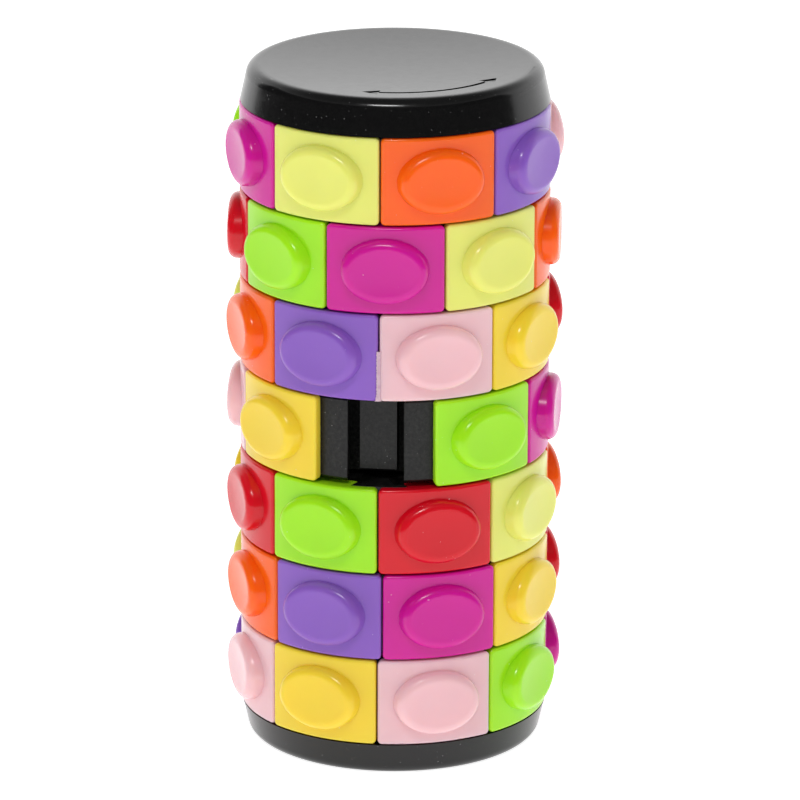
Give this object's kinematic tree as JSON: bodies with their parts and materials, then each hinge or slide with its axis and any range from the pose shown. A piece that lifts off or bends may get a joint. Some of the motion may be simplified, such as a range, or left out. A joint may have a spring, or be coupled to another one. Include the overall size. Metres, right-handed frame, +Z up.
{
  "type": "rotating cylinder slide puzzle",
  "caption": "Cylinder puzzle: slotted rings turn on a central core, and coloured tiles with oval buttons slide up and down between them into an empty cell.",
  "frame": {"origin": "centre of the flat foot of the bottom cap, on the surface the tower stands on", "axes": "+Z up along the axis every ring turns about; -Y is the front, where the empty cell is at rest"},
  "size_m": [0.0522, 0.0522, 0.108],
  "materials": {
    "black_plastic": "satin black ABS",
    "steel": "zinc-plated steel",
    "green_plastic": "semi-gloss moulded ABS",
    "magenta_plastic": "semi-gloss moulded ABS",
    "lemon_plastic": "semi-gloss moulded ABS",
    "orange_plastic": "semi-gloss moulded ABS",
    "purple_plastic": "semi-gloss moulded ABS",
    "pink_plastic": "semi-gloss moulded ABS",
    "red_plastic": "semi-gloss moulded ABS",
    "yellow_plastic": "semi-gloss moulded ABS"
  },
  "bodies": {
    "core": {"bottom_cap": "black_plastic", "top_cap": "black_plastic", "core_tube": "black_plastic", "top_retainer": "black_plastic", "tension_spring": "steel", "spring_washer": "steel", "tension_screw": "steel", "base_screw": "steel"},
    "ring_1": {"ring_1_carrier": "black_plastic", "ring_1_tiles_green": "green_plastic", "ring_1_tiles_lemon": "lemon_plastic", "ring_1_tiles_magenta": "magenta_plastic", "ring_1_tiles_orange": "orange_plastic", "ring_1_tiles_pink": "pink_plastic", "ring_1_tiles_purple": "purple_plastic"},
    "ring_2": {"ring_2_carrier": "black_plastic", "ring_2_tiles_green": "green_plastic", "ring_2_tiles_lemon": "lemon_plastic", "ring_2_tiles_magenta": "magenta_plastic", "ring_2_tiles_orange": "orange_plastic", "ring_2_tiles_purple": "purple_plastic", "ring_2_tiles_red": "red_plastic"},
    "ring_3": {"ring_3_carrier": "black_plastic", "ring_3_tiles_lemon": "lemon_plastic", "ring_3_tiles_orange": "orange_plastic", "ring_3_tiles_pink": "pink_plastic", "ring_3_tiles_purple": "purple_plastic", "ring_3_tiles_red": "red_plastic", "ring_3_tiles_yellow": "yellow_plastic"},
    "ring_4": {"ring_4_carrier": "black_plastic", "ring_4_tiles_green": "green_plastic", "ring_4_tiles_magenta": "magenta_plastic", "ring_4_tiles_orange": "orange_plastic", "ring_4_tiles_pink": "pink_plastic", "ring_4_tiles_red": "red_plastic", "ring_4_tiles_yellow": "yellow_plastic"},
    "ring_5": {"ring_5_carrier": "black_plastic", "ring_5_tiles_green": "green_plastic", "ring_5_tiles_lemon": "lemon_plastic", "ring_5_tiles_magenta": "magenta_plastic", "ring_5_tiles_orange": "orange_plastic", "ring_5_tiles_red": "red_plastic", "ring_5_tiles_yellow": "yellow_plastic"},
    "ring_6": {"ring_6_carrier": "black_plastic", "ring_6_tiles_lemon": "lemon_plastic", "ring_6_tiles_magenta": "magenta_plastic", "ring_6_tiles_orange": "orange_plastic", "ring_6_tiles_purple": "purple_plastic", "ring_6_tiles_red": "red_plastic", "ring_6_tiles_yellow": "yellow_plastic"},
    "ring_7": {"ring_7_carrier": "black_plastic", "ring_7_tiles_green": "green_plastic", "ring_7_tiles_magenta": "magenta_plastic", "ring_7_tiles_pink": "pink_plastic", "ring_7_tiles_purple": "purple_plastic", "ring_7_tiles_yellow": "yellow_plastic"}
  },
  "joints": [
    {"name": "ring_1_turn", "type": "hinge", "parent": "core", "child": "ring_1", "pos_m": [0, 0, 0.09545], "axis": [0, 0, 1], "continuous": true},
    {"name": "ring_2_turn", "type": "hinge", "parent": "core", "child": "ring_2", "pos_m": [0, 0, 0.08155], "axis": [0, 0, 1], "continuous": true},
    {"name": "ring_3_turn", "type": "hinge", "parent": "core", "child": "ring_3", "pos_m": [0, 0, 0.06765], "axis": [0, 0, 1], "continuous": true},
    {"name": "ring_4_turn", "type": "hinge", "parent": "core", "child": "ring_4", "pos_m": [0, 0, 0.05375], "axis": [0, 0, 1], "continuous": true},
    {"name": "ring_5_turn", "type": "hinge", "parent": "core", "child": "ring_5", "pos_m": [0, 0, 0.03985], "axis": [0, 0, 1], "continuous": true},
    {"name": "ring_6_turn", "type": "hinge", "parent": "core", "child": "ring_6", "pos_m": [0, 0, 0.02595], "axis": [0, 0, 1], "continuous": true},
    {"name": "ring_7_turn", "type": "hinge", "parent": "core", "child": "ring_7", "pos_m": [0, 0, 0.01205], "axis": [0, 0, 1], "continuous": true}
  ]
}
